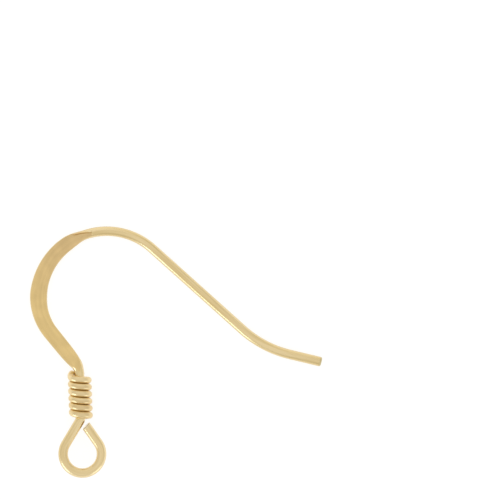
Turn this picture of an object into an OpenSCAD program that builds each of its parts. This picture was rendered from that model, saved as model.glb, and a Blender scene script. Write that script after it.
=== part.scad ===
// Fish-hook ear wire: one round wire bent to shape, and a finer wire coiled round its neck.
// It is drawn flat, with the neck along +Y from the origin, and then laid down as it rests.

/* [Wire] */
// Diameter of the round wire that the hook is bent from
wire_d = 0.7; // [0.6:0.05:0.8]
// Greatest width of the front, where the wire is pressed flat
front_w = 1.26; // [1.1:0.02:1.5]

/* [Eye] */
// Inside diameter of the eye that a drop hangs in
eye_d = 2.08; // [1.7:0.02:2.6]
// Gap between the eye's cut end and the wire beside it
eye_gap = 0.1; // [0.06:0.02:0.4]
// Inside radius of the bend from the eye into the neck
neck_bend_r = 0.45; // [0.1:0.05:0.6]
// Angle of that bend, which is also the slope of the eye's two sides
neck_bend = 33; // [28:1:36]

/* [Coil] */
// Diameter of the finer wire that is coiled round the neck
coil_wire_d = 0.5; // [0.4:0.05:0.6]
// Number of strands across the front of the coil
coil_strands = 6; // [4:1:8]
// Gap between one turn of the coil and the next
coil_gap = 0.01; // [0.005:0.005:0.05]
// Clearance between the coil and the neck inside it
coil_clearance = 0.02; // [0.01:0.005:0.05]
// How much lower the front of each turn sits than its sides
coil_lean = 0.09; // [0:0.01:0.12]
// How far round to the left the coil's upper end lies, from the front
coil_upper_end = 125; // [100:5:150]
// How far round to the right the coil's lower end lies, from the front
coil_lower_end = 165; // [130:5:180]
// How far the coil's lower end reaches over the neck bend
coil_overhang = 0.12; // [0:0.01:0.2]
// Straight neck above the coil's upper end
neck_above = 0.18; // [0.15:0.01:1]

/* [Front] */
// Radius of the bend from the neck into the shoulder
shoulder_r = 1.3; // [1:0.1:2]
// Angle of that bend
shoulder_turn = 37; // [30:1:45]
// Length of the straight shoulder
shoulder_l = 2.8; // [2:0.05:4]
// Radius of the front's lower curve
front_r = 4.05; // [3:0.05:5]
// Angle of the front's lower curve
front_turn = 47; // [40:1:60]

/* [Crown] */
// Radius of the curve that goes over the top
crown_r = 4.95; // [4:0.05:6]
// Angle of that curve, from the front to the back leg
crown_turn = 124; // [110:1:135]
// Angle of it that is still pressed flat
crown_pressed = 68; // [40:1:75]

/* [Leg and tail] */
// Length of the straight back leg
leg_l = 8.75; // [7:0.05:11]
// Radius of the bend from the leg into the tail
heel_r = 7.9; // [5:0.1:9]
// Angle of that bend
heel_turn = 28.5; // [20:0.5:35]
// Length of the straight tail
tail_l = 2.35; // [2:0.05:4]

/* [Hidden] */

// Fragments of a whole circle
$fn = 48;
// Points round the pressed wire, and the distance from one ring of them to the next
PRESSED_SIDES = 24;
PRESSED_STEP = 0.2;
// Points round the coil's wire, and rings of them in one turn
COIL_SIDES = 12;
COIL_RINGS = 24;
// A bend runs on a little way inside the straight wire at both its ends, and the pressed wire inside
// the round wire. Each is a hair thinner than what it runs into, so that no two surfaces coincide.
BEND_LAP = 0.03;
BEND_FIT = 0.995;
PRESSED_LAP = 0.3;
PRESSED_FIT = 0.99;
// How often the outline is looked at to find the middle of the whole hook
LOOK_STEP = 0.1;

wire_r = wire_d / 2;
pressed_r = wire_r * PRESSED_FIT;

// The wire's course is kept in rows of these two columns, a row for each straight stretch or bend.
LENGTH = 0;
TURN = 1;

// How the front's width grows and falls again along the pressed wire.
// ALONG is the share of the pressed length, and the other column is the share of the widening.
PRESSED_WIDTH = [
    [0.02, 0],
    [0.06, 0.33],
    [0.095, 0.53],
    [0.13, 0.64],
    [0.17, 0.7],
    [0.3, 0.76],
    [0.42, 0.88],
    [0.51, 1],
    [0.6, 0.89],
    [0.73, 0.78],
    [0.82, 0.71],
    [0.865, 0.64],
    [0.9, 0.46],
    [0.93, 0.2],
    [0.96, 0.02],
    [0.98, 0],
    [1, 0]
];

// Coil
coil_pitch = coil_wire_d + coil_gap;
coil_bore_r = wire_r + coil_clearance;
coil_centre_r = coil_bore_r + coil_wire_d / 2;
coil_outer_r = coil_bore_r + coil_wire_d;
coil_from = -coil_upper_end;
coil_to = 360 * (coil_strands - 1) + coil_lower_end;
coil_rise = coil_pitch * (coil_to - coil_from) / 360;
neck_l = coil_rise - coil_overhang + neck_above;
coil_top = neck_l - neck_above;

// Eye: its two sides slope alike, and would meet on the neck's axis if the end weren't cut short.
eye_r = eye_d / 2 + wire_r;
neck_centre_r = neck_bend_r + wire_r;
eye_apex_l = eye_r / tan(neck_bend);
eye_side_l = eye_apex_l - neck_centre_r * tan(neck_bend / 2);
eye_cut_l = (eye_gap + wire_r + wire_r * cos(2 * neck_bend)) / sin(2 * neck_bend);

EYE = [
    bend(neck_centre_r, -neck_bend),
    straight(eye_side_l),
    bend(eye_r, 180 + 2 * neck_bend),
    straight(eye_apex_l - eye_cut_l)
];
PRESSED = [
    bend(shoulder_r, shoulder_turn),
    straight(shoulder_l),
    bend(front_r, -front_turn),
    bend(crown_r, -crown_pressed)
];
BACK = [
    bend(crown_r, crown_pressed - crown_turn),
    straight(leg_l),
    bend(heel_r, heel_turn),
    straight(tail_l)
];

// A place on the wire is [x, y, heading], with the heading in degrees from +X.
EYE_START = [0, 0, -90];
PRESSED_START = [0, neck_l, 90];
pressed_l = length(PRESSED);
BACK_START = place(PRESSED, pressed_l, PRESSED_START);

// Resting: the hook lies on the end of its tail, on the crown where a line from there touches it,
// and on the back of the coil's first whole turn.
tail_end = flat(place(BACK, length(BACK), BACK_START));
crown_centre = flat(BACK_START) + crown_r * [sin(BACK_START[2]), -cos(BACK_START[2])];
crown_touch = crown_centre + crown_r * turned(
    unit(tail_end - crown_centre),
    acos(crown_r / norm(tail_end - crown_centre))
);
coil_touch = [0, coil_y(180)];
rest_line = unit(crown_touch - tail_end);
rest_side = turned(rest_line, 90);
rest_tilt = asin((coil_outer_r - wire_r) / ((coil_touch - tail_end) * rest_side));

outline = concat(
    edges(EYE, EYE_START, false),
    edges(PRESSED, PRESSED_START, true),
    edges(BACK, BACK_START, false)
);
outline_x = [for (p = outline) rested(p)[0]];
outline_y = [for (p = outline) rested(p)[1]];
middle = [min(outline_x) + max(outline_x), min(outline_y) + max(outline_y)] / 2;

function straight(l) = [l, 0];
function bend(r, turn) = [r * abs(turn) * PI / 180, turn];
function radius(row) = row[LENGTH] / (abs(row[TURN]) * PI / 180);
function length(rows, i = 0) = i < len(rows) ? rows[i][LENGTH] + length(rows, i + 1) : 0;

function flat(at) = [at[0], at[1]];
function unit(v) = v / norm(v);
function turned(v, angle) = [
    v[0] * cos(angle) - v[1] * sin(angle),
    v[0] * sin(angle) + v[1] * cos(angle)
];

// The place that is the distance l along one row, and along a list of rows.
function onward(row, l, at) =
    row[TURN] == 0
    ? [at[0] + l * cos(at[2]), at[1] + l * sin(at[2]), at[2]]
    : let (
        r = radius(row) * sign(row[TURN]),
        h = at[2] + row[TURN] * l / row[LENGTH]
    ) [at[0] + r * (sin(h) - sin(at[2])), at[1] - r * (cos(h) - cos(at[2])), h];
function place(rows, l, at, i = 0) =
    l <= rows[i][LENGTH] || i == len(rows) - 1
    ? onward(rows[i], l, at)
    : place(rows, l - rows[i][LENGTH], onward(rows[i], rows[i][LENGTH], at), i + 1);

// Half the width of the pressed wire, and half its thickness: pressing moves metal sideways
// and keeps the wire's area.
function half_width(l) =
    pressed_r + (front_w / 2 - pressed_r) * lookup(l / pressed_l, PRESSED_WIDTH);
function half_thickness(half_w) =
    (4 * half_w - sqrt(16 * pow(half_w, 2) - 4 * (4 - PI) * PI * pow(pressed_r, 2)))
    / (2 * (4 - PI));

// Both edges of the wire along some rows, in the flat drawing, and such a point after it is laid down.
function edges(rows, start, pressed) =
    let (steps = ceil(length(rows) / LOOK_STEP))
    [
        for (i = [0 : steps], side = [-1, 1])
            let (
                l = length(rows) * i / steps,
                at = place(rows, l, start),
                half_w = pressed ? half_width(l) : wire_r
            )
            flat(at) + side * half_w * [-sin(at[2]), cos(at[2])]
    ];
function rested(p) =
    let (q = p - tail_end)
    rest_line * (q * rest_line) + rest_side * (q * rest_side) * cos(rest_tilt);

// Height of the coil's centre line above the neck bend, at an angle round the neck from the front.
function coil_y(angle) =
    coil_top - coil_pitch * (angle - coil_from) / 360 - coil_lean * cos(angle);

// Faces of a tube of rings, each with the given number of sides, closed at both ends.
function tube_faces(rings, sides) = concat(
    [[for (k = [0 : sides - 1]) k]],
    [
        for (i = [0 : rings - 2], k = [0 : sides - 1])
            let (next = (k + 1) % sides)
            [i * sides + k, (i + 1) * sides + k, (i + 1) * sides + next, i * sides + next]
    ],
    [[for (k = [sides - 1 : -1 : 0]) (rings - 1) * sides + k]]
);

// One stretch of round wire, from the origin along +Y. A bend to the left curves about a centre on
// the left, and one to the right about a centre on the right.
module wire_stretch(row) {
    if (row[TURN] == 0)
        rotate([-90, 0, 0]) cylinder(d = wire_d, h = row[LENGTH]);
    else {
        r = radius(row);
        lap = BEND_LAP / r * 180 / PI;
        from = row[TURN] > 0 ? 0 : 180 + row[TURN];
        translate([-r * sign(row[TURN]), 0, 0])
            rotate([0, 0, from - lap])
            rotate_extrude(angle = abs(row[TURN]) + 2 * lap)
            translate([r, 0]) circle(d = wire_d * BEND_FIT);
    }
}

// A run of round wire, where each stretch carries on from the end of the one before.
module wire_run(rows, i = 0) {
    if (i < len(rows)) {
        end = onward(rows[i], rows[i][LENGTH], [0, 0, 90]);
        wire_stretch(rows[i]);
        translate([end[0], end[1], 0]) rotate([0, 0, end[2] - 90]) wire_run(rows, i + 1);
    }
}

module start_at(at) {
    translate([at[0], at[1], 0]) rotate([0, 0, at[2] - 90]) children();
}

// The front, pressed from round to flat and back. It begins and ends inside the round wire.
module pressed_front() {
    rows = concat(
        [straight(PRESSED_LAP)],
        PRESSED,
        [bend(crown_r, -PRESSED_LAP / crown_r * 180 / PI)]
    );
    start = PRESSED_START - [0, PRESSED_LAP, 0];
    steps = ceil(length(rows) / PRESSED_STEP);
    rings = [
        for (i = [0 : steps])
            let (
                l = length(rows) * i / steps,
                at = place(rows, l, start),
                half_w = half_width(l - PRESSED_LAP),
                half_t = half_thickness(half_w)
            )
            for (k = [0 : PRESSED_SIDES - 1])
                let (
                    angle = (k + 0.5) * 360 / PRESSED_SIDES,
                    across = sign(cos(angle)) * (half_w - half_t) + half_t * cos(angle)
                )
                [at[0] - across * sin(at[2]), at[1] + across * cos(at[2]), half_t * sin(angle)]
    ];
    polyhedron(points = rings, faces = tube_faces(steps + 1, PRESSED_SIDES));
}

// Turns the flat drawing into the hook as it lies on a table, with the middle of its outline over
// the origin.
module laid_down() {
    translate([-middle[0], -middle[1], wire_r])
        rotate(a = rest_tilt, v = [rest_line[0], rest_line[1], 0])
        translate([-tail_end[0], -tail_end[1], 0])
        children();
}

module ear_hook() color("#dcc290") laid_down() {
    start_at(EYE_START) wire_run(EYE);
    rotate([-90, 0, 0]) cylinder(d = wire_d, h = neck_l);
    pressed_front();
    start_at(BACK_START) wire_run(BACK);
}

module coil() color("#d0b482") laid_down() {
    steps = ceil(COIL_RINGS * (coil_to - coil_from) / 360);
    rings = [
        for (i = [0 : steps])
            let (
                angle = coil_from + (coil_to - coil_from) * i / steps,
                outward = [sin(angle), 0, cos(angle)],
                ahead = [
                    coil_centre_r * cos(angle) * PI / 180,
                    -coil_pitch / 360 + coil_lean * sin(angle) * PI / 180,
                    -coil_centre_r * sin(angle) * PI / 180
                ],
                across = unit(cross(ahead, outward))
            )
            for (k = [0 : COIL_SIDES - 1])
                let (round = k * 360 / COIL_SIDES)
                [0, coil_y(angle), 0]
                + (coil_centre_r + coil_wire_d / 2 * cos(round)) * outward
                + coil_wire_d / 2 * sin(round) * across
    ];
    polyhedron(points = rings, faces = tube_faces(steps + 1, COIL_SIDES));
}

ear_hook();
coil();
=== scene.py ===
import math

import bpy
from mathutils import Matrix, Vector


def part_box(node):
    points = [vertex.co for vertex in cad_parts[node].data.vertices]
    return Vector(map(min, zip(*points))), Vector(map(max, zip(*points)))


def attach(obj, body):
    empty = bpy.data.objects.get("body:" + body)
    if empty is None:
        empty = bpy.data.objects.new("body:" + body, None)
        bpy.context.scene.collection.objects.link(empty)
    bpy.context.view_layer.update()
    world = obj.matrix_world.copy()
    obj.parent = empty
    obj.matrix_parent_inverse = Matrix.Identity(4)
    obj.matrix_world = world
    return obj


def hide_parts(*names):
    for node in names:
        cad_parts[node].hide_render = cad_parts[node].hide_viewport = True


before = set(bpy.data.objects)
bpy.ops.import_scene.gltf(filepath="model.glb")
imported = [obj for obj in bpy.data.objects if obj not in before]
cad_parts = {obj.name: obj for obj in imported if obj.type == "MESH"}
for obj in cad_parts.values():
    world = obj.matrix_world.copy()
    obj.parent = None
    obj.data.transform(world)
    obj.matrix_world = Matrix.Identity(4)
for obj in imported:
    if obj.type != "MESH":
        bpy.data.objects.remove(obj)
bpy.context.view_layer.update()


# The ear hook is one length of round gold wire, bent cold into an open eye, a neck, an S-shaped
# front, a crown, a straight back leg and a tail. Flat dies have pressed its front into a satin face
# with crisp edges. At the crown that face ends in a short slanted ramp, under the die's corner.
MM = 0.001

WIRE_R = 0.35 * MM
FRONT_HALF_WIDTH = 0.63 * MM

# Bends have a radius and a turn in degrees.
EYE_R = 1.39 * MM
EYE_GAP = 0.1 * MM
NECK_BEND_R = 0.8 * MM
NECK_BEND = 33
SHOULDER_R = 1.3 * MM
SHOULDER_TURN = 37
SHOULDER_L = 2.8 * MM
FRONT_R = 4.05 * MM
FRONT_TURN = 47
CROWN_R = 4.95 * MM
CROWN_TURN = 124
CROWN_PRESSED = 68
LEG_L = 8.75 * MM
HEEL_R = 7.9 * MM
HEEL_TURN = 28.5
TAIL_L = 2.35 * MM

# The coil's sizes are needed here too: it sets the neck's length, and the hook lies on it.
COIL_WIRE_R = 0.25 * MM
COIL_PITCH = 0.51 * MM
COIL_BORE_R = WIRE_R + 0.02 * MM
COIL_LEAN = 0.09 * MM
COIL_FROM = math.radians(-125)
COIL_TO = math.radians(5 * 360 + 165)
COIL_OVERHANG = 0.12 * MM
NECK_ABOVE = 0.18 * MM

coil_centre_r = COIL_BORE_R + COIL_WIRE_R
coil_rise = COIL_PITCH * (COIL_TO - COIL_FROM) / math.tau
coil_top = coil_rise - COIL_OVERHANG
neck_l = coil_top + NECK_ABOVE


def bend(radius, degrees):
    """A bent stretch of wire, as its length and its turn to the left."""
    return radius * math.radians(abs(degrees)), math.radians(degrees)


def straight(length):
    return length, 0.0


def onward(place, stretch, distance):
    """The place (x, y, heading) that lies a distance along a stretch that starts at a place."""
    x, y, heading = place
    length, turn = stretch
    if turn == 0:
        return x + distance * math.cos(heading), y + distance * math.sin(heading), heading
    radius = length / turn
    after = heading + distance / radius
    x += radius * (math.sin(after) - math.sin(heading))
    y -= radius * (math.cos(after) - math.cos(heading))
    return x, y, after


def end_of(place, stretches):
    for stretch in stretches:
        place = onward(place, stretch, stretch[0])
    return place


# The two sides of the eye slope alike. They would meet on the neck's axis, but one is cut short.
slope = math.radians(NECK_BEND)
eye_apex_l = EYE_R / math.tan(slope)
eye_side_l = eye_apex_l - NECK_BEND_R * math.tan(slope / 2)
eye_cut_l = (EYE_GAP + WIRE_R + WIRE_R * math.cos(2 * slope)) / math.sin(2 * slope)

EYE = [
    bend(NECK_BEND_R, -NECK_BEND),
    straight(eye_side_l),
    bend(EYE_R, 180 + 2 * NECK_BEND),
    straight(eye_apex_l - eye_cut_l),
]
PRESSED = [
    bend(SHOULDER_R, SHOULDER_TURN),
    straight(SHOULDER_L),
    bend(FRONT_R, -FRONT_TURN),
    bend(CROWN_R, -CROWN_PRESSED),
]
BACK = [
    bend(CROWN_R, CROWN_PRESSED - CROWN_TURN),
    straight(LEG_L),
    bend(HEEL_R, HEEL_TURN),
    straight(TAIL_L),
]
pressed_l = sum(length for length, turn in PRESSED)
back_start = end_of((0.0, neck_l, math.pi / 2), PRESSED)
tail_end = end_of(back_start, BACK)

# The hook lies on its tail's end, on the crown where a line from there touches it, and on the back
# of the coil. This matrix takes the flat drawing, with the neck along +Y, to the hook as it lies.
tip = Vector(tail_end[:2])
crown_centre = Vector(back_start[:2]) + CROWN_R * Vector(
    (math.sin(back_start[2]), -math.cos(back_start[2]))
)
to_tip = tip - crown_centre
touch_turn = math.acos(CROWN_R / to_tip.length)
crown_touch = crown_centre + CROWN_R * (Matrix.Rotation(touch_turn, 2) @ to_tip.normalized())
coil_back_y = coil_top - COIL_PITCH * (math.pi - COIL_FROM) / math.tau + COIL_LEAN
rest_line = (crown_touch - tip).normalized()
rest_side = Vector((-rest_line.y, rest_line.x))
rest_tilt = math.asin(
    (coil_centre_r + COIL_WIRE_R - WIRE_R) / (Vector((0, coil_back_y)) - tip).dot(rest_side)
)
laid_down = (
    Matrix.Translation((0, 0, WIRE_R))
    @ Matrix.Rotation(rest_tilt, 4, rest_line.to_3d())
    @ Matrix.Translation((-tip.x, -tip.y, 0))
)

# How far the face is pressed: WIDENED is the share of the widening, at a share ALONG the pressed
# length. The face lies PRESSED_HEIGHT off the wire's middle, and BARREL is half the height that the
# sides would reach if they closed over it.
ALONG = [0.02, 0.06, 0.095, 0.13, 0.17, 0.3, 0.42, 0.51, 0.6]
WIDENED = [0, 0.33, 0.53, 0.64, 0.7, 0.76, 0.88, 1, 0.89]
ALONG += [0.73, 0.82, 0.865, 0.9, 0.93, 0.96, 0.98, 1]
WIDENED += [0.78, 0.71, 0.64, 0.46, 0.2, 0.02, 0, 0]
PRESSED_HEIGHT = 0.165 * MM
BARREL = 0.42 * MM
# At the neck the face begins without a step, over this length.
FACE_FROM = 0.1 * MM
FACE_FULL = 1.2 * MM
# At the crown the die's corner ran off the wire. Its edge stands CREASE_ACROSS off the middle at
# CREASE_ALONG, both in millimetres, and what lies outside it stays round. Inside it the face rises
# from RAMP_FROM and tilts, up to a small step at RAMP_END.
CREASE_ALONG = [11.6, 11.75, 12.1, 12.96]
CREASE_ACROSS = [0.44, 0.29, 0.21, -0.04]
RAMP_FROM = 11.9 * MM
RAMP_END = 12.96 * MM
RAMP_RISE = 0.185 * MM
RAMP_TILT = 0.32
STEP_WIDTH = 0.09 * MM
# The eye's end is as the cutter left it, with its edge just broken. The cutter met it at a slant:
# its outer side and its underside reach further, by these shares of the wire's width. The tail's
# end is cut square, and a cup burr has rounded its edge over, so that it goes through the ear.
EYE_BREAK = 0.05 * MM
CUT_SLANT = -0.21
CUT_LEAN = 0.16
CUT_FADE = 0.5 * MM
CUT_REACH = 0.12 * MM
TAIL_ROUNDING = 0.14 * MM
BURR_REACH = 0.2 * MM
ROUNDING_STEP = 15
# Points round the section, the distance from one ring of them to the next, and the angle from
# which an edge stays sharp. The point that is CORNER up the circle becomes the edge of the face.
HOOK_SIDES = 72
STATION_STEP = 0.08 * MM
HOOK_SHARP_FROM = math.radians(18)
CORNER = math.radians(60)
CORNER_MARGIN = math.radians(1)
CLOSE_ENOUGH = 0.0001


def between(x, xs, ys):
    """Straight-line reading of a table."""
    if x <= xs[0]:
        return ys[0]
    for x0, x1, y0, y1 in zip(xs, xs[1:], ys, ys[1:]):
        if x <= x1:
            return y0 + (y1 - y0) * (x - x0) / (x1 - x0)
    return ys[-1]


def smooth(x, low, high):
    """How far x is from low to high, from 0 to 1, with a gentle start and end."""
    t = min(max((x - low) / (high - low), 0), 1)
    return t * t * (3 - 2 * t)


def section(pressed_at):
    """The wire's section at a distance along its pressed length.

    It is half the width and height, the face's height in the middle and its tilt across, and the
    face's inner and outer corners, as angles up the side.
    """
    if not 0 < pressed_at < RAMP_END:
        return WIRE_R, WIRE_R, 2 * WIRE_R, 0.0, CORNER, CORNER
    widened = between(pressed_at / pressed_l, ALONG, WIDENED)
    half_width = WIRE_R + (FRONT_HALF_WIDTH - WIRE_R) * widened
    ramp = min(max((pressed_at - RAMP_FROM) / (RAMP_END - RAMP_FROM), 0), 1)
    pressing = smooth(pressed_at, FACE_FROM, FACE_FULL)
    fading = 1 - smooth(pressed_at, RAMP_FROM, RAMP_END)
    half_height = WIRE_R + (BARREL - WIRE_R) * pressing * fading
    face = WIRE_R + (PRESSED_HEIGHT - WIRE_R) * pressing + RAMP_RISE * ramp
    tilt = RAMP_TILT * ramp
    # The inner corner is where the round side meets the face's plane.
    low, high = 0.0, CORNER
    while high - low > CLOSE_ENOUGH:
        inner = (low + high) / 2
        if half_height * math.sin(inner) < face - tilt * half_width * math.cos(inner):
            low = inner
        else:
            high = inner
    outer = inner
    if pressed_at / MM > CREASE_ALONG[0]:
        crease = between(pressed_at / MM, CREASE_ALONG, CREASE_ACROSS) * MM
        outer = max(inner, math.acos(min(crease / half_width, 1)))
    return half_width, half_height, face, tilt, inner, outer


def rounded_off(to_end, rounding):
    """How much radius the wire has lost, this far from an end that is rounded."""
    if to_end >= rounding:
        return 0
    return rounding - math.sqrt(rounding**2 - (rounding - to_end) ** 2)


def place_at(along):
    """The place (x, y, heading) at a distance from the eye's cut end."""
    place = (eye_end[0], eye_end[1], eye_end[2] + math.pi)
    for stretch in course:
        if along <= stretch[0]:
            break
        place = onward(place, stretch, stretch[0])
        along -= stretch[0]
    return onward(place, stretch, along)


eye_end = end_of((0.0, 0.0, -math.pi / 2), EYE)
eye_from_its_end = [(length, -turn) for length, turn in reversed(EYE)]
course = eye_from_its_end + [straight(neck_l)] + PRESSED + BACK
neck_top = sum(length for length, turn in EYE) + neck_l
whole_l = sum(length for length, turn in course)
steps = round(whole_l / STATION_STEP)
stations = [whole_l * i / steps for i in range(steps + 1)]
# There are more rings at the small step and where the ends are rounded.
stations += [neck_top + RAMP_END - STEP_WIDTH, neck_top + RAMP_END]
for degrees in range(ROUNDING_STEP, 90 + 1, ROUNDING_STEP):
    share = 1 - math.cos(math.radians(degrees))
    stations += [EYE_BREAK * share, whole_l - TAIL_ROUNDING * share]
stations.sort()

path = bpy.data.meshes.new("ear_hook")
path.from_pydata(
    [(*place_at(along)[:2], 0) for along in stations],
    [(i, i + 1) for i in range(len(stations) - 1)],
    [],
)
names = ["half_width", "half_height", "face_height", "face_tilt", "inner_corner", "outer_corner"]
names += ["along", "slant", "lean", "end"]
columns = {name: [] for name in names}
for along in stations:
    to_tail = whole_l - along
    at_cut = 1 - smooth(along, 0, CUT_FADE)
    worked = 1 - smooth(along, 0, CUT_REACH) * smooth(to_tail, 0, BURR_REACH)
    values = [*section(along - neck_top), along, CUT_SLANT * at_cut, CUT_LEAN * at_cut, worked]
    lost = rounded_off(along, EYE_BREAK) + rounded_off(to_tail, TAIL_ROUNDING)
    values[0] -= lost
    values[1] -= lost
    for name, value in zip(names, values):
        columns[name].append(value)
for name, values in columns.items():
    path.attributes.new(name, "FLOAT", "POINT").data.foreach_set("value", values)
hook = bpy.data.objects.new("hook_wire", path)
bpy.context.scene.collection.objects.link(hook)


def add(tree, kind, inputs=None, **settings):
    """Adds a node. Its inputs, by name or number, are values or outputs of other nodes."""
    node = tree.nodes.new(kind)
    for name, value in settings.items():
        setattr(node, name, value)
    for socket, value in (inputs or {}).items():
        if isinstance(value, bpy.types.NodeSocket):
            tree.links.new(value, node.inputs[socket])
        else:
            node.inputs[socket].default_value = value
    return node


def linear(hex_colour):
    """An sRGB hex colour as linear RGBA."""
    shares = [int(hex_colour[i : i + 2], 16) / 255 for i in (1, 3, 5)]
    return (*[s / 12.92 if s <= 0.04045 else ((s + 0.055) / 1.055) ** 2.4 for s in shares], 1)


# Nine carat yellow gold wire, drawn through dies and tumble polished. It is bright, with fine
# drawing lines along it that break its reflections into long streaks of lighter and deeper gold.
POLISHED_DEEP = "#E2C88F"
POLISHED_PALE = "#F5DEAC"
POLISHED_ROUGHNESS = 0.24
ROUGHNESS_VARIES = 0.05
# The drawing lines are about 0.1 mm apart and 5 mm long. Strengths are shares of the depth.
LINE_L = 5 * MM
LINE_PERIOD = 0.2 * MM
LINE_DEPTH = 0.012 * MM
LINE_STRENGTH = 0.5
LINE_STRENGTH_IN_SATIN = 0.15
GRAIN = 0.04 * MM
GRAIN_DEPTH = 0.002 * MM
GRAIN_STRENGTH = 0.3
# A noise texture stays between these values nearly everywhere.
NOISE_LOW = 0.35
NOISE_HIGH = 0.65
# The wire is painted paler towards the eye and deeper towards the tail: painted light and shade,
# for light that falls off from the eye's end towards the tail.
PAINTED_LIGHT_AT_EYE = 0.3
PAINTED_SHADE_AT_TAIL = -0.2
# The wire's sides are painted a little duller: painted shade that dims the bright reflections at
# its rims.
SIDE_SHADE = "#CDBB93"
SIDE_SHADE_SHARE = 0.5
SIDE_SHADE_FULL_TO = 0.3 * WIRE_R
SIDE_SHADE_GONE_AT = 0.75 * WIRE_R
# The pressed face is satin and a shade deeper, most of all towards the crown. It is uneven: it
# shows the drawing lines faintly, and clouds about 0.8 mm across. The crease is painted dark, as
# painted shade where the die's step shades it.
FACE_AT_NECK = "#E9CB8C"
FACE_AT_CROWN = "#E1C28B"
FACE_CHANGES_FROM = 5 * MM
FACE_CHANGES_TO = 12 * MM
SATIN_ROUGHNESS = 0.36
CLOUD = 0.8 * MM
CLOUD_CONTRAST = 0.04
LINE_CONTRAST = 0.05
CREASE_SHADE = "#C7A468"
# Neither end is polished: the eye's is pale from the cutter, and the tail's dull from the burr.
CUT_END = "#ECDFC0"
BURRED_END = "#C6B788"

gold = bpy.data.materials.new("drawn_gold_wire")
gold.use_nodes = True
nodes = gold.node_tree
nodes.nodes.clear()
on_wire = add(nodes, "ShaderNodeAttribute", attribute_name="place_on_wire").outputs["Vector"]
satin = add(nodes, "ShaderNodeAttribute", attribute_name="pressed").outputs["Fac"]
# Where the painted shade in the crease lies, as the wire's tree stores it.
in_crease_shade = add(nodes, "ShaderNodeAttribute", attribute_name="crease").outputs["Fac"]
at_end = add(nodes, "ShaderNodeAttribute", attribute_name="end").outputs["Fac"]
place = add(nodes, "ShaderNodeSeparateXYZ", {0: on_wire})
line_place = add(
    nodes,
    "ShaderNodeVectorMath",
    {0: on_wire, 1: (1 / LINE_L, 1 / LINE_PERIOD, 1 / LINE_PERIOD)},
    operation="MULTIPLY",
)
lines = add(
    nodes,
    "ShaderNodeTexNoise",
    {"Vector": line_place.outputs[0], "Scale": 1.0, "Detail": 3, "Roughness": 0.6},
)
grain = add(nodes, "ShaderNodeTexNoise", {"Vector": on_wire, "Scale": 1 / GRAIN, "Detail": 2})
clouds = add(
    nodes,
    "ShaderNodeTexNoise",
    {"Vector": on_wire, "Scale": 1 / CLOUD, "Detail": 1, "Roughness": 0.4},
)
paler = add(
    nodes,
    "ShaderNodeMapRange",
    {
        0: lines.outputs["Fac"],
        1: NOISE_LOW,
        2: NOISE_HIGH,
        3: PAINTED_LIGHT_AT_EYE,
        4: 1 + PAINTED_LIGHT_AT_EYE,
    },
)
to_tail = add(nodes, "ShaderNodeMapRange", {0: place.outputs[0], 1: 0.0, 2: whole_l})
# Painted light and shade: the streak pattern shifts paler towards the eye and deeper towards the
# tail.
lines_and_painted_light = add(
    nodes,
    "ShaderNodeMath",
    {0: to_tail.outputs[0], 1: PAINTED_SHADE_AT_TAIL - PAINTED_LIGHT_AT_EYE, 2: paler.outputs[0]},
    operation="MULTIPLY_ADD",
)
polished = add(
    nodes,
    "ShaderNodeMix",
    {0: lines_and_painted_light.outputs[0], 6: linear(POLISHED_DEEP), 7: linear(POLISHED_PALE)},
    data_type="RGBA",
)
off_plane = add(nodes, "ShaderNodeMath", {0: place.outputs[2]}, operation="ABSOLUTE")
# Painted shade: away from its top and bottom, the wire is mixed towards the duller side colour.
side_shade_mask = add(
    nodes,
    "ShaderNodeMapRange",
    {0: off_plane.outputs[0], 1: SIDE_SHADE_FULL_TO, 2: SIDE_SHADE_GONE_AT, 3: SIDE_SHADE_SHARE, 4: 0.0},
    interpolation_type="SMOOTHSTEP",
)
side_shaded = add(
    nodes,
    "ShaderNodeMix",
    {0: side_shade_mask.outputs[0], 6: polished.outputs[2], 7: linear(SIDE_SHADE)},
    data_type="RGBA",
)
up_the_face = add(
    nodes,
    "ShaderNodeMapRange",
    {0: place.outputs[0], 1: neck_top + FACE_CHANGES_FROM, 2: neck_top + FACE_CHANGES_TO},
    interpolation_type="SMOOTHSTEP",
)
face_tone = add(
    nodes,
    "ShaderNodeMix",
    {0: up_the_face.outputs[0], 6: linear(FACE_AT_NECK), 7: linear(FACE_AT_CROWN)},
    data_type="RGBA",
)
face_line, face_cloud = [
    add(
        nodes,
        "ShaderNodeMapRange",
        {
            0: texture.outputs["Fac"],
            1: NOISE_LOW,
            2: NOISE_HIGH,
            3: 1 - contrast,
            4: 1 + contrast,
        },
    )
    for texture, contrast in ((lines, LINE_CONTRAST), (clouds, CLOUD_CONTRAST))
]
face_scale = add(
    nodes,
    "ShaderNodeMath",
    {0: face_line.outputs[0], 1: face_cloud.outputs[0]},
    operation="MULTIPLY",
)
face = add(
    nodes,
    "ShaderNodeVectorMath",
    {0: face_tone.outputs[2], "Scale": face_scale.outputs[0]},
    operation="SCALE",
)
end_tone = add(
    nodes,
    "ShaderNodeMix",
    {0: to_tail.outputs[0], 6: linear(CUT_END), 7: linear(BURRED_END)},
    data_type="RGBA",
)
tone = side_shaded.outputs[2]
for where, colour in (
    (satin, face.outputs[0]),
    (in_crease_shade, linear(CREASE_SHADE)),
    (at_end, end_tone.outputs[2]),
):
    tone = add(nodes, "ShaderNodeMix", {0: where, 6: tone, 7: colour}, data_type="RGBA").outputs[2]
dulled = add(nodes, "ShaderNodeMath", {0: satin, 1: at_end}, operation="MAXIMUM")
roughness = add(
    nodes,
    "ShaderNodeMix",
    {0: dulled.outputs[0], 2: POLISHED_ROUGHNESS, 3: SATIN_ROUGHNESS},
    data_type="FLOAT",
)
roughness_varied = add(
    nodes,
    "ShaderNodeMapRange",
    {0: lines.outputs["Fac"], 3: -ROUGHNESS_VARIES, 4: ROUGHNESS_VARIES},
)
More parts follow.
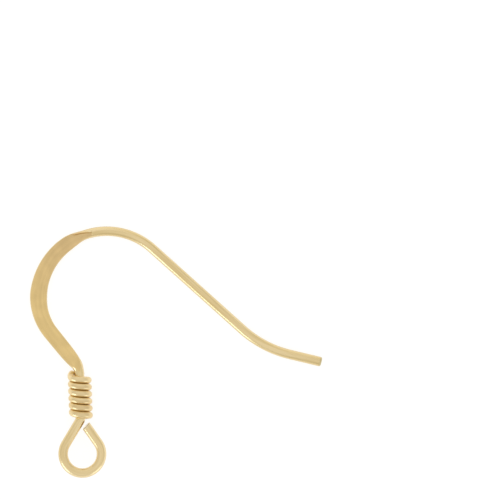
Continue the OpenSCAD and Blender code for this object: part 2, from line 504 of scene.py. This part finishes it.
roughness_sum = add(
    nodes,
    "ShaderNodeMath",
    {0: roughness.outputs[0], 1: roughness_varied.outputs[0]},
    operation="ADD",
)
line_strength = add(
    nodes,
    "ShaderNodeMix",
    {0: satin, 2: LINE_STRENGTH, 3: LINE_STRENGTH_IN_SATIN},
    data_type="FLOAT",
)
line_bump = add(
    nodes,
    "ShaderNodeBump",
    {
        "Height": lines.outputs["Fac"],
        "Strength": line_strength.outputs[0],
        "Distance": LINE_DEPTH,
    },
)
grain_bump = add(
    nodes,
    "ShaderNodeBump",
    {
        "Height": grain.outputs["Fac"],
        "Strength": GRAIN_STRENGTH,
        "Distance": GRAIN_DEPTH,
        "Normal": line_bump.outputs[0],
    },
)
shader = add(
    nodes,
    "ShaderNodeBsdfPrincipled",
    {
        "Base Color": tone,
        "Metallic": 1.0,
        "Roughness": roughness_sum.outputs[0],
        "Normal": grain_bump.outputs[0],
    },
)
add(nodes, "ShaderNodeOutputMaterial", {"Surface": shader.outputs[0]})

# The tree sweeps a round section along the path and presses it between the dies.
tree = bpy.data.node_groups.new("pressed_wire", "GeometryNodeTree")
tree.is_modifier = True
sockets = {}
for name, kind in (
    ("Path", "NodeSocketGeometry"),
    ("Sides", "NodeSocketInt"),
    ("Sharp from", "NodeSocketFloat"),
    ("Finish", "NodeSocketMaterial"),
):
    sockets[name] = tree.interface.new_socket(name, in_out="INPUT", socket_type=kind).identifier
tree.interface.new_socket("Wire", in_out="OUTPUT", socket_type="NodeSocketGeometry")
given = add(tree, "NodeGroupInput").outputs
position = add(tree, "GeometryNodeInputPosition").outputs[0]
tangent = add(tree, "GeometryNodeInputTangent").outputs[0]
# Each point of the path keeps its place and the directions to its left and ahead.
leftward = add(
    tree, "ShaderNodeVectorMath", {0: (0, 0, 1), 1: tangent}, operation="CROSS_PRODUCT"
)
curve = add(tree, "GeometryNodeMeshToCurve", {"Mesh": given["Path"]})
for name, value in (("middle", position), ("left", leftward.outputs[0]), ("ahead", tangent)):
    curve = add(
        tree,
        "GeometryNodeStoreNamedAttribute",
        {"Geometry": curve.outputs[0], "Name": name, "Value": value},
        data_type="FLOAT_VECTOR",
        domain="POINT",
    )
# Each point of the section keeps its place on a circle of radius 1.
circle = add(
    tree, "GeometryNodeCurvePrimitiveCircle", {"Resolution": given["Sides"], "Radius": 1.0}
)
ring = add(
    tree,
    "GeometryNodeStoreNamedAttribute",
    {"Geometry": circle.outputs[0], "Name": "ring", "Value": position},
    data_type="FLOAT_VECTOR",
    domain="POINT",
)
tube = add(
    tree,
    "GeometryNodeCurveToMesh",
    {"Curve": curve.outputs[0], "Profile Curve": ring.outputs[0], "Fill Caps": True},
)
read = {}
for name in [*names, "middle", "left", "ahead", "ring"]:
    kind = "FLOAT" if name in names else "FLOAT_VECTOR"
    reader = add(tree, "GeometryNodeInputNamedAttribute", {"Name": name}, data_type=kind)
    read[name] = reader.outputs[0]
ring_xyz = add(tree, "ShaderNodeSeparateXYZ", {0: read["ring"]})
side_sign = add(tree, "ShaderNodeMath", {0: ring_xyz.outputs[0]}, operation="SIGN")
face_sign = add(tree, "ShaderNodeMath", {0: ring_xyz.outputs[1]}, operation="SIGN")
rise = add(tree, "ShaderNodeMath", {0: ring_xyz.outputs[1]}, operation="ABSOLUTE")
angle = add(tree, "ShaderNodeMath", {0: rise.outputs[0]}, operation="ARCSINE")
# The points at CORNER up the circle slide to the corners of the pressed face.
is_outer = add(
    tree, "ShaderNodeMath", {0: ring_xyz.outputs[0], 1: 0.0}, operation="GREATER_THAN"
)
corner = add(
    tree,
    "ShaderNodeMix",
    {0: is_outer.outputs[0], 2: read["inner_corner"], 3: read["outer_corner"]},
    data_type="FLOAT",
)
above_corner = add(
    tree, "ShaderNodeMath", {0: math.pi / 2, 1: corner.outputs[0]}, operation="SUBTRACT"
)
side_angle = add(
    tree,
    "ShaderNodeMapRange",
    {0: angle.outputs[0], 1: 0.0, 2: CORNER, 3: 0.0, 4: corner.outputs[0]},
)
face_angle = add(
    tree,
    "ShaderNodeMapRange",
    {0: angle.outputs[0], 1: CORNER, 2: math.pi / 2, 3: 0.0, 4: above_corner.outputs[0]},
)
new_angle = add(
    tree, "ShaderNodeMath", {0: side_angle.outputs[0], 1: face_angle.outputs[0]}, operation="ADD"
)
cosine = add(tree, "ShaderNodeMath", {0: new_angle.outputs[0]}, operation="COSINE")
sine = add(tree, "ShaderNodeMath", {0: new_angle.outputs[0]}, operation="SINE")
outward = add(
    tree, "ShaderNodeMath", {0: cosine.outputs[0], 1: read["half_width"]}, operation="MULTIPLY"
)
across = add(
    tree, "ShaderNodeMath", {0: outward.outputs[0], 1: side_sign.outputs[0]}, operation="MULTIPLY"
)
round_height = add(
    tree, "ShaderNodeMath", {0: sine.outputs[0], 1: read["half_height"]}, operation="MULTIPLY"
)
face_there = add(
    tree,
    "ShaderNodeMath",
    {0: across.outputs[0], 1: read["face_tilt"], 2: read["face_height"]},
    operation="MULTIPLY_ADD",
)
on_side = add(
    tree, "ShaderNodeMath", {0: angle.outputs[0], 1: CORNER + CORNER_MARGIN}, operation="LESS_THAN"
)
face_or_side = add(
    tree,
    "ShaderNodeMix",
    {0: on_side.outputs[0], 2: face_there.outputs[0], 3: round_height.outputs[0]},
    data_type="FLOAT",
)
height = add(
    tree,
    "ShaderNodeMath",
    {0: round_height.outputs[0], 1: face_or_side.outputs[0]},
    operation="MINIMUM",
)
up = add(
    tree, "ShaderNodeMath", {0: height.outputs[0], 1: face_sign.outputs[0]}, operation="MULTIPLY"
)
pressed_here = add(
    tree,
    "FunctionNodeCompare",
    {0: round_height.outputs[0], 1: face_there.outputs[0]},
    data_type="FLOAT",
    operation="GREATER_THAN",
)
# At the eye's cut end the points slide along the wire, further on the outer side and below.
from_inside = add(tree, "ShaderNodeMath", {0: across.outputs[0], 1: WIRE_R}, operation="ADD")
slanted = add(
    tree, "ShaderNodeMath", {0: from_inside.outputs[0], 1: read["slant"]}, operation="MULTIPLY"
)
from_below = add(tree, "ShaderNodeMath", {0: up.outputs[0], 1: WIRE_R}, operation="ADD")
cut_back = add(
    tree,
    "ShaderNodeMath",
    {0: from_below.outputs[0], 1: read["lean"], 2: slanted.outputs[0]},
    operation="MULTIPLY_ADD",
)
sideways = add(
    tree, "ShaderNodeVectorMath", {0: read["left"], "Scale": across.outputs[0]}, operation="SCALE"
)
upward = add(tree, "ShaderNodeCombineXYZ", {2: up.outputs[0]})
forward = add(
    tree,
    "ShaderNodeVectorMath",
    {0: read["ahead"], "Scale": cut_back.outputs[0]},
    operation="SCALE",
)
surface = read["middle"]
for offset in (sideways, upward, forward):
    surface = add(
        tree, "ShaderNodeVectorMath", {0: surface, 1: offset.outputs[0]}, operation="ADD"
    ).outputs[0]
# The crease is the wall between the round side and the lower face, where the two corners differ.
# Painted shade darkens it near the outer corner as they part, in radians, from WALL_FROM to
# WALL_FULL.
WALL_FROM = 0.35
WALL_FULL = 0.6
CREASE_REACH = math.radians(6)
wall_height = add(
    tree,
    "ShaderNodeMath",
    {0: read["outer_corner"], 1: read["inner_corner"]},
    operation="SUBTRACT",
)
is_wall = add(
    tree, "ShaderNodeMapRange", {0: wall_height.outputs[0], 1: WALL_FROM, 2: WALL_FULL}
)
off_corner = add(tree, "ShaderNodeMath", {0: angle.outputs[0], 1: CORNER}, operation="SUBTRACT")
from_corner = add(tree, "ShaderNodeMath", {0: off_corner.outputs[0]}, operation="ABSOLUTE")
at_corner = add(
    tree, "ShaderNodeMath", {0: from_corner.outputs[0], 1: CREASE_REACH}, operation="LESS_THAN"
)
at_outer_corner = add(
    tree,
    "ShaderNodeMath",
    {0: at_corner.outputs[0], 1: is_outer.outputs[0]},
    operation="MULTIPLY",
)
# Painted shade in the crease, at the outer corner where the wall stands.
crease_shade_here = add(
    tree,
    "ShaderNodeMath",
    {0: at_outer_corner.outputs[0], 1: is_wall.outputs[0]},
    operation="MULTIPLY",
)
# The finish follows the wire: its pattern reads how far along, across and up each point lies.
place_on_wire = add(
    tree,
    "ShaderNodeCombineXYZ",
    {0: read["along"], 1: across.outputs[0], 2: up.outputs[0]},
)
wire = tube
for name, node, kind in (
    ("place_on_wire", place_on_wire, "FLOAT_VECTOR"),
    ("pressed", pressed_here, "FLOAT"),
    ("crease", crease_shade_here, "FLOAT"),
):
    wire = add(
        tree,
        "GeometryNodeStoreNamedAttribute",
        {"Geometry": wire.outputs[0], "Name": name, "Value": node.outputs[0]},
        data_type=kind,
        domain="POINT",
    )
shaped = add(
    tree, "GeometryNodeSetPosition", {"Geometry": wire.outputs[0], "Position": surface}
)
gentle = add(
    tree,
    "FunctionNodeCompare",
    {0: add(tree, "GeometryNodeInputMeshEdgeAngle").outputs[0], 1: given["Sharp from"]},
    data_type="FLOAT",
    operation="LESS_THAN",
)
smoothed = add(
    tree,
    "GeometryNodeSetShadeSmooth",
    {"Geometry": shaped.outputs[0], "Shade Smooth": gentle.outputs[0]},
    domain="EDGE",
)
real = add(tree, "GeometryNodeRealizeInstances", {"Geometry": smoothed.outputs[0]})
finished = add(
    tree, "GeometryNodeSetMaterial", {"Geometry": real.outputs[0], "Material": given["Finish"]}
)
add(tree, "NodeGroupOutput", {0: finished.outputs[0]})


def grow(piece, tree, values):
    """Runs a tree on a piece and keeps the result as the piece's own plain mesh."""
    modifier = piece.modifiers.new(tree.name, "NODES")
    modifier.node_group = tree
    for identifier, value in values.items():
        modifier[identifier] = value
    evaluated = piece.evaluated_get(bpy.context.evaluated_depsgraph_get())
    made = bpy.data.meshes.new_from_object(evaluated)
    piece.modifiers.clear()
    piece.data = made


grow(
    hook,
    tree,
    {
        sockets["Sides"]: HOOK_SIDES,
        sockets["Sharp from"]: HOOK_SHARP_FROM,
        sockets["Finish"]: gold,
    },
)
hook.data.transform(laid_down)
low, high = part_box("ear_hook")
drawn_low = Vector(min(v.co[i] for v in hook.data.vertices) for i in range(3))
to_frame = Matrix.Translation((low.x - drawn_low.x, low.y - drawn_low.y, 0))
hook.data.transform(to_frame)
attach(hook, "root")
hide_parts("ear_hook")


# The coil is a finer gold wire, wound in a tight spring round the neck and cut off at both ends. It
# is held by its own grip. Its upper cut end springs up a little behind the neck.
COIL_SIDES = 24
COIL_RINGS_A_TURN = 72
COIL_SHARP_FROM = math.radians(40)
SPRING_UP = 0.16 * MM
SPRING_TURN = math.radians(55)

# The same gold, drawn harder for a spring. It is a shade warmer and less bright, alike all round.
SPRING_DEEP = "#E0C48F"
SPRING_PALE = "#EFD8A6"
SPRING_ROUGHNESS = 0.32

spring_gold = gold.copy()
spring_gold.name = "hard_drawn_gold_wire"
spring_nodes = spring_gold.node_tree.nodes
spring_nodes[polished.name].inputs[6].default_value = linear(SPRING_DEEP)
spring_nodes[polished.name].inputs[7].default_value = linear(SPRING_PALE)
# The coil gets no painted side shade.
spring_nodes[side_shade_mask.name].inputs[3].default_value = 0.0
spring_nodes[roughness.name].inputs[2].default_value = SPRING_ROUGHNESS

# The tree winds a line of points into a helix round the neck, from its upper end down.
tree = bpy.data.node_groups.new("wound_wire", "GeometryNodeTree")
tree.is_modifier = True
sockets = {}
for name, kind in (
    ("Nothing", "NodeSocketGeometry"),
    ("Rings", "NodeSocketInt"),
    ("Sides", "NodeSocketInt"),
    ("From", "NodeSocketFloat"),
    ("To", "NodeSocketFloat"),
    ("Centre radius", "NodeSocketFloat"),
    ("Top", "NodeSocketFloat"),
    ("Pitch", "NodeSocketFloat"),
    ("Lean", "NodeSocketFloat"),
    ("Spring turn", "NodeSocketFloat"),
    ("Spring up", "NodeSocketFloat"),
    ("Wire radius", "NodeSocketFloat"),
    ("Sharp from", "NodeSocketFloat"),
    ("Finish", "NodeSocketMaterial"),
):
    sockets[name] = tree.interface.new_socket(name, in_out="INPUT", socket_type=kind).identifier
tree.interface.new_socket("Coil", in_out="OUTPUT", socket_type="NodeSocketGeometry")
given = add(tree, "NodeGroupInput").outputs
line = add(
    tree, "GeometryNodeMeshLine", {"Count": given["Rings"], "Offset": (0, 0, 1)}, mode="OFFSET"
)
last = add(tree, "ShaderNodeMath", {0: given["Rings"], 1: 1.0}, operation="SUBTRACT")
index = add(tree, "GeometryNodeInputIndex")
turn = add(
    tree,
    "ShaderNodeMapRange",
    {0: index.outputs[0], 1: 0.0, 2: last.outputs[0], 3: given["From"], 4: given["To"]},
)
sine = add(tree, "ShaderNodeMath", {0: turn.outputs[0]}, operation="SINE")
cosine = add(tree, "ShaderNodeMath", {0: turn.outputs[0]}, operation="COSINE")
turned = add(tree, "ShaderNodeMath", {0: turn.outputs[0], 1: given["From"]}, operation="SUBTRACT")
fall = add(tree, "ShaderNodeMath", {0: turned.outputs[0], 1: given["Pitch"]}, operation="MULTIPLY")
fallen = add(tree, "ShaderNodeMath", {0: fall.outputs[0], 1: math.tau}, operation="DIVIDE")
below_top = add(
    tree, "ShaderNodeMath", {0: given["Top"], 1: fallen.outputs[0]}, operation="SUBTRACT"
)
lean = add(tree, "ShaderNodeMath", {0: cosine.outputs[0], 1: given["Lean"]}, operation="MULTIPLY")
leant = add(
    tree, "ShaderNodeMath", {0: below_top.outputs[0], 1: lean.outputs[0]}, operation="SUBTRACT"
)
spring = add(
    tree,
    "ShaderNodeMapRange",
    {0: turned.outputs[0], 1: 0.0, 2: given["Spring turn"], 3: given["Spring up"], 4: 0.0},
    interpolation_type="SMOOTHSTEP",
)
along_neck = add(
    tree, "ShaderNodeMath", {0: leant.outputs[0], 1: spring.outputs[0]}, operation="ADD"
)
to_side, to_front, wound_length = [
    add(
        tree,
        "ShaderNodeMath",
        {0: node.outputs[0], 1: given["Centre radius"]},
        operation="MULTIPLY",
    )
    for node in (sine, cosine, turned)
]
wound_place = add(
    tree,
    "ShaderNodeCombineXYZ",
    {0: to_side.outputs[0], 1: along_neck.outputs[0], 2: to_front.outputs[0]},
)
helix = add(
    tree,
    "GeometryNodeSetPosition",
    {"Geometry": line.outputs[0], "Position": wound_place.outputs[0]},
)
lengths = add(
    tree,
    "GeometryNodeStoreNamedAttribute",
    {"Geometry": helix.outputs[0], "Name": "wound", "Value": wound_length.outputs[0]},
    data_type="FLOAT",
    domain="POINT",
)
curve = add(tree, "GeometryNodeMeshToCurve", {"Mesh": lengths.outputs[0]})
circle = add(
    tree,
    "GeometryNodeCurvePrimitiveCircle",
    {"Resolution": given["Sides"], "Radius": given["Wire radius"]},
)
ring = add(
    tree,
    "GeometryNodeStoreNamedAttribute",
    {
        "Geometry": circle.outputs[0],
        "Name": "ring",
        "Value": add(tree, "GeometryNodeInputPosition").outputs[0],
    },
    data_type="FLOAT_VECTOR",
    domain="POINT",
)
tube = add(
    tree,
    "GeometryNodeCurveToMesh",
    {"Curve": curve.outputs[0], "Profile Curve": ring.outputs[0], "Fill Caps": True},
)
wound = add(tree, "GeometryNodeInputNamedAttribute", {"Name": "wound"}, data_type="FLOAT")
ring_place = add(
    tree, "GeometryNodeInputNamedAttribute", {"Name": "ring"}, data_type="FLOAT_VECTOR"
)
ring_xyz = add(tree, "ShaderNodeSeparateXYZ", {0: ring_place.outputs[0]})
place_on_wire = add(
    tree,
    "ShaderNodeCombineXYZ",
    {0: wound.outputs[0], 1: ring_xyz.outputs[0], 2: ring_xyz.outputs[1]},
)
placed = add(
    tree,
    "GeometryNodeStoreNamedAttribute",
    {"Geometry": tube.outputs[0], "Name": "place_on_wire", "Value": place_on_wire.outputs[0]},
    data_type="FLOAT_VECTOR",
    domain="POINT",
)
gentle = add(
    tree,
    "FunctionNodeCompare",
    {0: add(tree, "GeometryNodeInputMeshEdgeAngle").outputs[0], 1: given["Sharp from"]},
    data_type="FLOAT",
    operation="LESS_THAN",
)
smoothed = add(
    tree,
    "GeometryNodeSetShadeSmooth",
    {"Geometry": placed.outputs[0], "Shade Smooth": gentle.outputs[0]},
    domain="EDGE",
)
real = add(tree, "GeometryNodeRealizeInstances", {"Geometry": smoothed.outputs[0]})
finished = add(
    tree, "GeometryNodeSetMaterial", {"Geometry": real.outputs[0], "Material": given["Finish"]}
)
add(tree, "NodeGroupOutput", {0: finished.outputs[0]})

coil = bpy.data.objects.new("coil_wire", bpy.data.meshes.new("coil"))
bpy.context.scene.collection.objects.link(coil)
grow(
    coil,
    tree,
    {
        sockets["Rings"]: round(COIL_RINGS_A_TURN * (COIL_TO - COIL_FROM) / math.tau) + 1,
        sockets["Sides"]: COIL_SIDES,
        sockets["From"]: COIL_FROM,
        sockets["To"]: COIL_TO,
        sockets["Centre radius"]: coil_centre_r,
        sockets["Top"]: coil_top,
        sockets["Pitch"]: COIL_PITCH,
        sockets["Lean"]: COIL_LEAN,
        sockets["Spring turn"]: SPRING_TURN,
        sockets["Spring up"]: SPRING_UP,
        sockets["Wire radius"]: COIL_WIRE_R,
        sockets["Sharp from"]: COIL_SHARP_FROM,
        sockets["Finish"]: spring_gold,
    },
)
coil.data.transform(laid_down)
coil.data.transform(to_frame)
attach(coil, "root")
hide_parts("coil")


# The floor is a light table's sheet of white opal acrylic. It is lit faintly from below, which
# takes nearly all of the shadow away.
FLOOR = 0.6
OPAL = "#A8A8A8"
OPAL_ROUGHNESS = 0.9
GLOW = 0.74

acrylic = bpy.data.materials.new("lit_opal_acrylic")
acrylic.use_nodes = True
acrylic.node_tree.nodes.clear()
shader = add(
    acrylic.node_tree,
    "ShaderNodeBsdfPrincipled",
    {
        "Base Color": linear(OPAL),
        "Roughness": OPAL_ROUGHNESS,
        "Specular IOR Level": 0.0,
        "Emission Color": linear("#FFFFFF"),
        "Emission Strength": GLOW,
    },
)
add(acrylic.node_tree, "ShaderNodeOutputMaterial", {"Surface": shader.outputs[0]})
floor_mesh = bpy.data.meshes.new("floor")
floor_mesh.from_pydata(
    [(-FLOOR, -FLOOR, 0), (FLOOR, -FLOOR, 0), (FLOOR, FLOOR, 0), (-FLOOR, FLOOR, 0)],
    [],
    [(0, 1, 2, 3)],
)
floor_mesh.materials.append(acrylic)
floor = bpy.data.objects.new("floor", floor_mesh)
bpy.context.scene.collection.objects.link(floor)

# Soft studio light: a pale tent all round, with broad dim panels above, behind and at both front
# corners. Two brighter strips of cool daylight tubes, low at the front corners, draw the long pale
# highlights along the wire.
TENT = 0.77
PANEL_DISTANCE = 0.6
PANELS = [
    # name, azimuth from +X and elevation, width and height, brightness, colour
    ("top_panel", 90, 90, 1.2, 1.2, 0.08, "#FFFFFF"),
    ("far_panel", 90, 18, 0.7, 0.7, 0.15, "#FFFFFF"),
    ("left_panel", 215, 15, 0.35, 0.35, 0.3, "#FFFFFF"),
    ("right_panel", 312, 15, 0.3, 0.3, 0.35, "#FFFFFF"),
    ("low_left_strip", 218, 7, 0.36, 0.18, 2.95, "#BEDDFF"),
    ("low_right_strip", 308, 7, 0.3, 0.15, 1.1, "#BEDDFF"),
]

world = bpy.data.worlds.new("light_tent")
world.use_nodes = True
world.node_tree.nodes.clear()
tent = add(
    world.node_tree, "ShaderNodeBackground", {"Color": linear("#FFFFFF"), "Strength": TENT}
)
add(world.node_tree, "ShaderNodeOutputWorld", {"Surface": tent.outputs[0]})
bpy.context.scene.world = world

for name, azimuth, elevation, width, height, brightness, colour in PANELS:
    light = bpy.data.lights.new(name, "AREA")
    light.color = linear(colour)[:3]
    light.shape = "RECTANGLE"
    light.size = width
    light.size_y = height
    light.energy = brightness * math.pi * width * height
    panel = bpy.data.objects.new(name, light)
    bpy.context.scene.collection.objects.link(panel)
    a, e = math.radians(azimuth), math.radians(elevation)
    direction = Vector((math.cos(a) * math.cos(e), math.sin(a) * math.cos(e), math.sin(e)))
    panel.location = PANEL_DISTANCE * direction
    panel.rotation_euler = direction.to_track_quat("Z", "Y").to_euler()
    panel.visible_camera = False

# The camera looks straight down, turned a little so that the hook stands in the frame as it should.
PHOTO = 500
PX_PER_MM = 13.8
NECK_FOOT_PX = Vector((81.1, 415.2))
ROLL = math.radians(2.06)
CAMERA_HEIGHT = 1.0
SENSOR = 36

neck_foot = to_frame @ laid_down @ Vector((0, 0, 0))
to_centre = Vector((PHOTO / 2 - NECK_FOOT_PX.x, NECK_FOOT_PX.y - PHOTO / 2)) / PX_PER_MM * MM
to_centre.rotate(Matrix.Rotation(-ROLL, 2))
camera_data = bpy.data.cameras.new("camera")
camera = bpy.data.objects.new("camera", camera_data)
bpy.context.scene.collection.objects.link(camera)
camera.location = (neck_foot.x + to_centre.x, neck_foot.y + to_centre.y, CAMERA_HEIGHT)
camera.rotation_euler = (0, 0, -ROLL)
camera_data.sensor_width = SENSOR
camera_data.lens = SENSOR * CAMERA_HEIGHT / (PHOTO / PX_PER_MM * MM)
camera_data.clip_start = 0.01
camera_data.clip_end = 10
bpy.context.scene.camera = camera
bpy.context.scene.view_settings.view_transform = "Standard"
